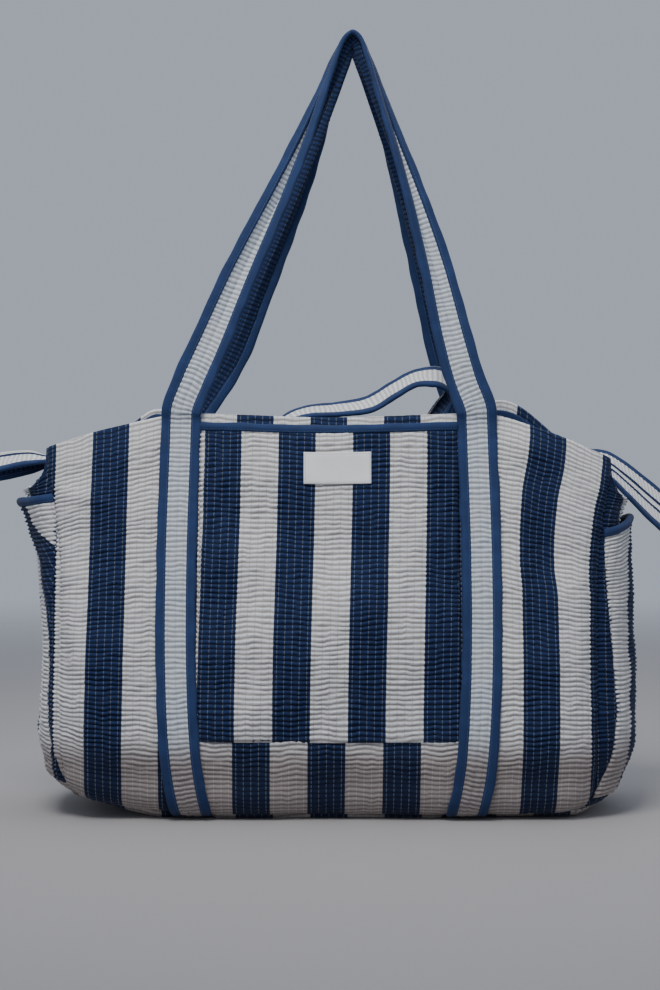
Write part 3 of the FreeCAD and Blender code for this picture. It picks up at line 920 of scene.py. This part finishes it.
def closure_edges(s):
    """Inner and outer edge of one bound strip, from the left tail's end to the right's."""
    def off(x, y, z, reach, tilt):
        """Point at a reach outwards from (x, y, z), tilted out of the level."""
        a = math.radians(tilt)
        return [x, s * (y + reach * math.cos(a)), z + s * reach * math.sin(a)]

    def flat(x, tilt=0.0):
        z = zip_height(x)
        return [x, s * 8.5, z] + off(x, 8.5, z, 32, tilt)

    def tail(x, z, tilt):
        return off(x, 0, z, 4.6, tilt) + off(x, 0, z, 28.6, tilt)

    droop_back = (-60, -56, -42, -14)
    left = [(-322, 317, 38), (-298, 321, 36), (-275, 322.5, 27), (-258, 318, 12)]
    left = [tail(x, z, tilt if s < 0 else back) for (x, z, tilt), back in zip(left, droop_back)]
    right = [tail(x, z, tilt) for x, z, tilt in ((256, 309, 30), (270, 298.5, 38),
                                                 (290, 281, 45), (313, 261, 48))]
    if s < 0:
        middle = [(-75, -8.5, 329, -75, -40.5, 329), (-54, -8.5, 342, -52, -40, 334),
                  (-37, -9, 357, -29, -38, 350), (-21, -9, 363, -17, -38, 352.5),
                  (4, -9, 366, 12, -38, 354), (33, -9, 371.5, 40, -37.5, 358),
                  (60, -9, 387, 61, -37, 370.5), (78, -9, 396, 79, -37, 380),
                  (96, -9, 399, 95, -36, 380.5), (107, -8.5, 393, 107, -35, 375),
                  (107, -8, 380, 111.5, -34, 366), (98, -7, 367, 107.5, -34, 356),
                  (89, -7, 353, 101, -35, 346), (86, -8, 339, 97, -38, 337),
                  (95, -8.5, 330.5, 103, -40, 330.5), (118, -8.5, 329.4, 118, -40.5, 329.4)]
    else:
        middle = [flat(-75), (-44, 8.5, 331, -44, 40.5, 331), (20, 14.5, 331.5, 20, 46.5, 331.5),
                  (60, 14.5, 331.5, 60, 46.5, 331.5), (112, 8.5, 331, 112, 40.5, 331)]
    rows = (left + [flat(x) for x in (-240, -232, -180, -120)] + middle
            + [flat(150), flat(190, 5), flat(228, 17), flat(236, 20)] + right)
    return np.array(rows, float)


def closure_strip(face, s):
    """A bound strip with its zip tape and teeth, in three lengths: two run on as tails."""
    edges = closure_edges(s)
    rows, run = resample(np.concatenate([(edges[:, :3] + edges[:, 3:]) / 2, edges], -1), STEP_V)
    inner, outer = rows[:, 3:6], rows[:, 6:9]
    width = np.linalg.norm(outer - inner, axis=-1)
    side = (outer - inner) / width[:, None]
    ahead = unit(np.gradient(rows[:, :3], axis=0))
    normal = unit(np.cross(ahead, side)) * s
    x = inner[:, 0]
    order = np.arange(len(run))
    cuts = (0, order[(x > -75)][0], order[(x > 118) & (order > order[x > 60][0] + 90)][0],
            len(run) - 1)
    loose = np.maximum(ease(-232, -262, x), ease(232, 262, x) * (order > cuts[2]))
    thin = 5.6 - 2.6 * loose
    seed = 60 + 3 * s
    parts = (("left", "left_tail", -1), ("middle", None, 0), ("right", "right_tail", 1))
    for (place, body, end), i0, i1 in zip(parts, cuts[:-1], cuts[1:]):
        span = slice(i0, i1 + 1)
        frames, r = (inner[span], side[span], normal[span]), run[span]
        w, t = width[span], thin[span]
        back_leg = 2.6 * (1 - loose[span])
        name = f"closure_{face}_{place}_"
        roll = ease(-75, -60, x[span]) * ease(128, 112, x[span]) if s < 0 and not end else 0 * r
        level = unit(np.array([0, -s, 0]) * (1 - loose[span, None]) - side[span] * loose[span, None])
        under = unit(level * (1 - roll)[:, None] + side[span] * roll[:, None]
                     - normal[span] * (0.5 * roll)[:, None])
        tail = f"{place}_tail_"
        zip_under = (inner[span], under, unit(np.cross(ahead[span], under)))
        pieces = [
            (sweep(name + "strip", frames, r,
                   band(r, t - 0.6, w - 4.9, -1.0, 1.0, 0.5, seed=seed), "white"), "_strip"),
            (sweep(name + "backing", frames, r,
                   band(r, w - 4.9, t - 0.6, -0.7, -1.3, -0.4, seed=seed + 1), "navy"), "_strip"),
            (sweep(name + "outer_tape", frames, r,
                   tape(r, w - 6.6, w + 0.4, 1.9, seed + 2), "tape"), "_outer_tape"),
            (sweep(name + "inner_tape", frames, r, tape(r, t, -0.2, 1.8, seed + 3), "tape"),
             "_inner_tape"),
            (sweep(name + "zip_tape", zip_under, r,
                   band(r, -1.2, 3.6 + back_leg, -0.35, 0.35, columns=5), "zip_tape"), "_zip_tape"),
            (teeth(name + "teeth", inner[span] + under * (4.2 + back_leg)[:, None], under,
                   ahead[span], r, s), "_teeth")]
        for obj, part in pieces:
            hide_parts(f"closure_{face}{part}")
            if not end:
                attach(obj, "bag")
                continue
            node = {"_outer_tape": f"{tail}{face}_tape", "_zip_tape": tail + "zip",
                    "_teeth": tail + "zip"}.get(part, f"{tail}{face}_strip")
            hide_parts(node)
            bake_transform(obj)


def teeth(name, centre, side, ahead, run, s):
    """Row of moulded zip teeth, 2.2 mm apart, with rounded heads."""
    pitch = 2.2
    at = np.arange(run[0] + pitch * (0.25 if s < 0 else 0.75), run[-1] - 0.6, pitch)
    pick = lambda a: np.stack([np.interp(at, run, a[:, i]) for i in range(3)], -1)
    c, d, e = pick(centre), unit(pick(side)), unit(pick(ahead))
    n = np.cross(e, d)
    ring = np.array([(-0.55, -0.8), (0.55, -0.8), (0.75, 0.0), (0.55, 0.8), (-0.55, 0.8),
                     (-0.75, 0.0)])
    layers = [(-1.3, 0.8), (-1.0, 1.0), (0.4, 0.72), (1.0, 1.05), (1.35, 0.75)]
    verts, faces = [], []
    for i in range(len(at)):
        base = len(verts) * len(ring) * len(layers)
        verts.append(np.array([[c[i] + d[i] * w + e[i] * a * k + n[i] * b * k * 0.9
                                for a, b in ring] for w, k in layers]).reshape(-1, 3))
        faces += tube(len(layers), len(ring), base)
    verts = np.concatenate(verts)
    return add_mesh(name, verts, faces, verts[:, :2], "teeth", smooth=False)


def plate(points, low, high, edge):
    """Flat plate with rounded rims from an outline: layers of (inset, height)."""
    points = np.asarray(points, float)
    away = unit(points - points.mean(0))
    layers = [(edge, low), (edge * 0.3, low + edge * 0.3), (0, low + edge), (0, high - edge),
              (edge * 0.3, high - edge * 0.3), (edge, high)]
    verts = np.concatenate([np.column_stack([points - away * i, np.full(len(points), z)])
                            for i, z in layers])
    return verts, tube(len(layers), len(points))


def outline(half_len, half_wide, power=3.0, count=28, taper=0.0):
    """Rounded outline, narrower towards +x by taper."""
    a = np.linspace(0, 2 * math.pi, count, endpoint=False)
    x = np.sign(np.cos(a)) * np.abs(np.cos(a)) ** (2 / power) * half_len
    y = np.sign(np.sin(a)) * np.abs(np.sin(a)) ** (2 / power) * half_wide
    return np.column_stack([x, y * (1 - taper * (x / half_len + 1) / 2)])


def joined(name, pieces, place_at, body, node):
    """One metal piece from several closed ones, set in its place on the zip."""
    axes, origin = place_at
    verts, faces, base = [], [], 0
    for v, f in pieces:
        verts.append(v @ axes + origin)
        faces += [[k + base for k in face] for face in f]
        base += len(v)
    verts = np.concatenate(verts)
    obj = outward(add_mesh(name, verts, faces, verts[:, :2], "metal", smooth=False))
    bevel = obj.modifiers.new("soft edges", "BEVEL")
    bevel.width, bevel.segments, bevel.limit_method = 0.00015, 2, "ANGLE"
    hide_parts(node)
    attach(obj, body)


def hoop(path, across, thick):
    """Bar of oblong section bent along a path in the x-z plane."""
    path = np.asarray(path, float)
    rows, _ = resample(np.column_stack([path[:, 0], 0 * path[:, 0], path[:, 1]]), 0.5)
    ahead = unit(np.gradient(rows, axis=0))
    up = np.cross(ahead, [0, 1, 0])
    a = np.linspace(0, 2 * math.pi, 10, endpoint=False)
    verts = (rows[:, None] + np.cos(a)[None, :, None] * across / 2 * np.array([0, 1, 0])
             + np.sin(a)[None, :, None] * thick / 2 * up[:, None])
    return verts.reshape(-1, 3), tube(len(rows), len(a))


def ring_bar(points, radius):
    """Closed loop of round bar through points (x, y, z)."""
    p = np.asarray(points, float)
    ahead = unit(np.roll(p, -1, 0) - np.roll(p, 1, 0))
    up = np.array([0, 0, 1.0])
    side = unit(np.cross(ahead, up))
    a = np.linspace(0, 2 * math.pi, 8, endpoint=False)
    verts = (p[:, None] + np.cos(a)[None, :, None] * radius * side[:, None]
             + np.sin(a)[None, :, None] * radius * up)
    return verts.reshape(-1, 3), quads(len(p), len(a), close_rows=True, close_cols=True)


def zip_pulls():
    """Slider and pull at each end of the open middle."""
    for place, x, s in (("left", -66.0, -1), ("right", 136.0, 1)):
        drop = math.atan2(zip_height(x) - (ZIP_TOP - ZIP_FALL), ZIP_END - abs(x))
        ex = np.array([s * math.cos(drop), 0, -math.sin(drop)])
        ey = np.array([0, 1.0, 0])
        place_at = np.stack([ex, ey, np.cross(ex, ey) * s]), np.array([x, 0, zip_height(x)])
        shield = outline(6.0, 4.7, 3.2, taper=0.22)
        post = outline(1.0, 0.8, 2.4, 12) - [4.8, 0]
        body = [plate(shield, 1.05, 2.3, 0.35), plate(shield, -2.3, -1.05, 0.35),
                plate(post, -1.3, 1.3, 0.15),
                hoop([(-3.6, 1.9), (-3.3, 3.9), (-2.2, 5.0), (0, 5.3), (2.2, 5.0), (3.3, 3.9),
                      (3.6, 1.9)], 1.7, 0.9)]
        joined(f"zip_slider_{place}_body", body, place_at, place + "_slider",
               "zip_slider_" + place)
        loop = [(3.6 - 4.3 * math.cos(t) if math.cos(t) > 0 else 3.6 - 1.2 * math.cos(t),
                 2.4 * math.sin(t), 3.9) for t in np.linspace(0, 2 * math.pi, 32, endpoint=False)]
        tab = outline(9.8, 2.9, 4.0, 36, taper=-0.12) + [14.6, 0]
        face = outline(7.2, 1.9, 4.0, 36, taper=-0.12) + [14.9, 0]
        tag = [ring_bar(loop, 0.62), plate(tab, 3.25, 4.55, 0.3), plate(face, 4.4, 4.75, 0.15)]
        joined(f"zip_pull_{place}_tab", tag, place_at, place + "_pull", "zip_pull_" + place)


walls()
base_panel()
mouth_tapes()
pockets()
strap_pair("front", -1, 0.0)
strap_pair("back", 1, 1.0)
closure_strip("front", -1)
closure_strip("back", 1)
zip_pulls()


# ---- stage, lights, camera

def stage():
    """Round pale floor that fades out into the plain background."""
    n = Nodes("studio")
    coord = n.add("TexCoord")
    haze = n.noise(coord.outputs["Object"], 1.5, 3.0)
    n.surface(n.mix(haze, (0.36, 0.345, 0.345, 1), (0.40, 0.385, 0.385, 1)), 0.95, None)
    away = n.add("VectorMath", operation="LENGTH")
    n.put(away.inputs[0], coord.outputs["Object"])
    n.put(n.bsdf.inputs["Alpha"], n.ramp(away.outputs["Value"], 3.6, 0.9))
    around, rings = 96, np.linspace(20.0, 4000.0, 24)
    turn = np.linspace(0, 2 * math.pi, around, endpoint=False)
    verts = [(r * math.cos(a), r * math.sin(a), 0.0) for r in rings for a in turn]
    faces = quads(len(rings), around, close_cols=True) + [list(range(around))]
    floor = add_mesh("studio_floor", verts, faces)
    floor.data.materials.append(n.mat)


def lamp(name, at, target, size, power, colour, spread):
    light = bpy.data.lights.new(name, "AREA")
    light.energy, light.size, light.color = power, size, colour
    light.shape, light.spread = "DISK", math.radians(spread)
    obj = linked(name, light)
    obj.location = at
    obj.rotation_euler = (Vector(target) - Vector(at)).to_track_quat("-Z", "Y").to_euler()


def shoot():
    world = bpy.data.worlds.new("studio")
    world.use_nodes = True
    colour, strength = world.node_tree.nodes["Background"].inputs[:2]
    colour.default_value, strength.default_value = (0.78, 0.86, 1.0, 1), 0.50
    bpy.context.scene.world = world
    lamp("key", (-0.35, -1.0, 1.75), (0, -0.05, 0.40), 0.9, 4.2, (1.0, 0.99, 0.97), 70)
    lamp("back", (0.5, 1.9, 1.6), (0, 0, 0.35), 1.2, 2.0, (0.92, 0.96, 1.0), 110)
    lamp("top", (0.0, 0.0, 2.9), (0, 0, 0), 2.0, 9.0, (0.95, 0.98, 1.0), 160)
    camera = bpy.data.cameras.new("camera")
    camera.sensor_fit = "VERTICAL"
    camera.sensor_height = 36.0
    camera.lens = 36.0 / 0.861 * 1.565    # 0.861 m of height fills the view 1.565 m away
    obj = linked("camera", camera)
    obj.location = (0.001, -1.65, 0.2826)
    obj.rotation_euler = (math.pi / 2, 0, 0)
    bpy.context.scene.camera = obj


stage()
shoot()
